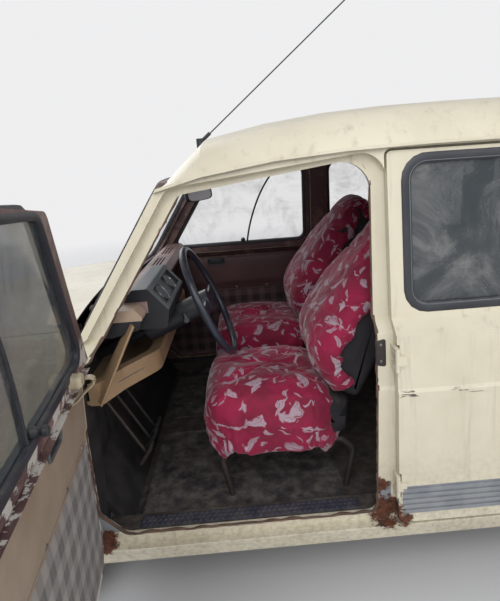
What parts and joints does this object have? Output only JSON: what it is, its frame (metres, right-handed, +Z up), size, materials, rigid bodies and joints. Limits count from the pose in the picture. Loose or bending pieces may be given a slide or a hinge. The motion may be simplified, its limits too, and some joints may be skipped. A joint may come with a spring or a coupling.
{
  "type": "small hatchback car",
  "caption": "Small boxy five-door hatchback with an open driver's door, hinged doors, bonnet and tailgate, steering front wheels and a furnished hollow cabin.",
  "frame": {"origin": "on the ground, on the car's centre line, under the split between the front and rear doors", "axes": "+X forward, +Y to the car's left, +Z up"},
  "size_m": [3.668, 2.3856, 1.9521],
  "materials": {
    "body_paint": "faded ivory gloss paint with rust",
    "inner_paint": "dark maroon inner paint",
    "underbody": "dark underbody coating",
    "window_glass": "dusty safety glass",
    "lamp_glass": "fluted clear lamp glass",
    "lamp_red": "red lamp lens",
    "grille_black": "black moulding",
    "bumper_grey": "grey painted bar",
    "dash_metal": "dull pinkish brown",
    "shelf_tan": "padded tan moulding",
    "dark_plastic": "worn dark plastic",
    "seat_cover": "crimson stretch cover with pale brush marks",
    "rear_cloth": "dark seat cloth",
    "bare_steel": "dull steel",
    "chassis_black": "black chassis paint",
    "cast_metal": "cast",
    "mirror_glass": "mirror glass in a dark frame",
    "wheel_paint": "grey wheel paint",
    "tyre_rubber": "worn tyre rubber"
  },
  "bodies": {
    "body": {"platform": "underbody", "boot_floor": "underbody", "front_frame": "underbody", "body_side_left": "body_paint", "body_side_right": "body_paint", "roof": "body_paint", "front_wings": "body_paint", "bulkhead": "inner_paint", "fixed_windows": "window_glass", "headlamps": "lamp_glass", "tail_lamps": "lamp_red", "front_bumper": "bumper_grey", "rear_bumper": "bumper_grey", "dashboard": "dash_metal", "parcel_shelf": "shelf_tan", "steering_column": "dark_plastic", "driver_controls": "chassis_black", "front_seat_left": "seat_cover", "front_seat_right": "seat_cover", "seat_frames": "chassis_black", "rear_seat": "rear_cloth", "interior_mirror": "mirror_glass", "aerial": "bare_steel", "engine_block": "cast_metal", "exhaust": "bare_steel", "fuel_tank": "chassis_black", "front_suspension": "chassis_black", "rear_suspension": "chassis_black"},
    "steering_wheel": {"steering_wheel": "dark_plastic"},
    "door_front_left": {"door_front_left_panel": "body_paint", "door_front_left_window": "window_glass"},
    "wheel_front_left": {"tyre_front_left": "tyre_rubber", "rim_front_left": "wheel_paint"},
    "door_rear_left": {"door_rear_left_panel": "body_paint", "door_rear_left_window": "window_glass"},
    "wheel_rear_left": {"tyre_rear_left": "tyre_rubber", "rim_rear_left": "wheel_paint"},
    "knuckle_left": {"knuckle_left": "cast_metal"},
    "door_front_right": {"door_front_right_panel": "body_paint", "door_front_right_window": "window_glass"},
    "wheel_front_right": {"tyre_front_right": "tyre_rubber", "rim_front_right": "wheel_paint"},
    "door_rear_right": {"door_rear_right_panel": "body_paint", "door_rear_right_window": "window_glass"},
    "wheel_rear_right": {"tyre_rear_right": "tyre_rubber", "rim_rear_right": "wheel_paint"},
    "knuckle_right": {"knuckle_right": "cast_metal"},
    "tailgate": {"tailgate_panel": "body_paint", "tailgate_window": "window_glass"},
    "bonnet": {"bonnet": "body_paint", "grille": "grille_black"}
  },
  "joints": [
    {"name": "door_front_left", "type": "hinge", "parent": "body", "child": "door_front_left", "pos_m": [0.909, 0.742, 0.85], "axis": [0, 0, -1], "range_deg": [-84, 0]},
    {"name": "door_front_right", "type": "hinge", "parent": "body", "child": "door_front_right", "pos_m": [0.909, -0.742, 0.85], "axis": [0, 0, 1], "range_deg": [0, 84]},
    {"name": "door_rear_left", "type": "hinge", "parent": "body", "child": "door_rear_left", "pos_m": [0.001, 0.742, 0.85], "axis": [0, 0, -1], "range_deg": [0, 70]},
    {"name": "door_rear_right", "type": "hinge", "parent": "body", "child": "door_rear_right", "pos_m": [0.001, -0.742, 0.85], "axis": [0, 0, 1], "range_deg": [0, 70]},
    {"name": "tailgate_hinge", "type": "hinge", "parent": "body", "child": "tailgate", "pos_m": [-1.612, 0, 1.386], "axis": [0, 1, 0], "range_deg": [0, 80]},
    {"name": "bonnet_hinge", "type": "hinge", "parent": "body", "child": "bonnet", "pos_m": [1.796, 0, 0.498], "axis": [0, 1, 0], "range_deg": [0, 60]},
    {"name": "steer_left", "type": "hinge", "parent": "body", "child": "knuckle_left", "pos_m": [1.21, 0.6, 0.268], "axis": [0, 0, 1], "range_deg": [-28, 28]},
    {"name": "steer_right", "type": "hinge", "parent": "body", "child": "knuckle_right", "pos_m": [1.21, -0.6, 0.268], "axis": [0, 0, 1], "range_deg": [-28, 28]},
    {"name": "steering_wheel_turn", "type": "hinge", "parent": "body", "child": "steering_wheel", "pos_m": [0.53, 0.33, 0.93], "axis": [-0.9272, 0, 0.3746], "range_deg": [-425, 425]},
    {"name": "wheel_front_left_spin", "type": "hinge", "parent": "knuckle_left", "child": "wheel_front_left", "pos_m": [1.21, 0.64, 0.268], "axis": [0, 1, 0], "continuous": true},
    {"name": "wheel_rear_left_spin", "type": "hinge", "parent": "body", "child": "wheel_rear_left", "pos_m": [-1.205, 0.622, 0.268], "axis": [0, 1, 0], "continuous": true},
    {"name": "wheel_front_right_spin", "type": "hinge", "parent": "knuckle_right", "child": "wheel_front_right", "pos_m": [1.21, -0.64, 0.268], "axis": [0, 1, 0], "continuous": true},
    {"name": "wheel_rear_right_spin", "type": "hinge", "parent": "body", "child": "wheel_rear_right", "pos_m": [-1.205, -0.622, 0.268], "axis": [0, 1, 0], "continuous": true}
  ],
  "couplings": [
    {"joint": "steer_right", "follows": "steer_left", "ratio": 1},
    {"joint": "steering_wheel_turn", "follows": "steer_left", "ratio": 15}
  ]
}
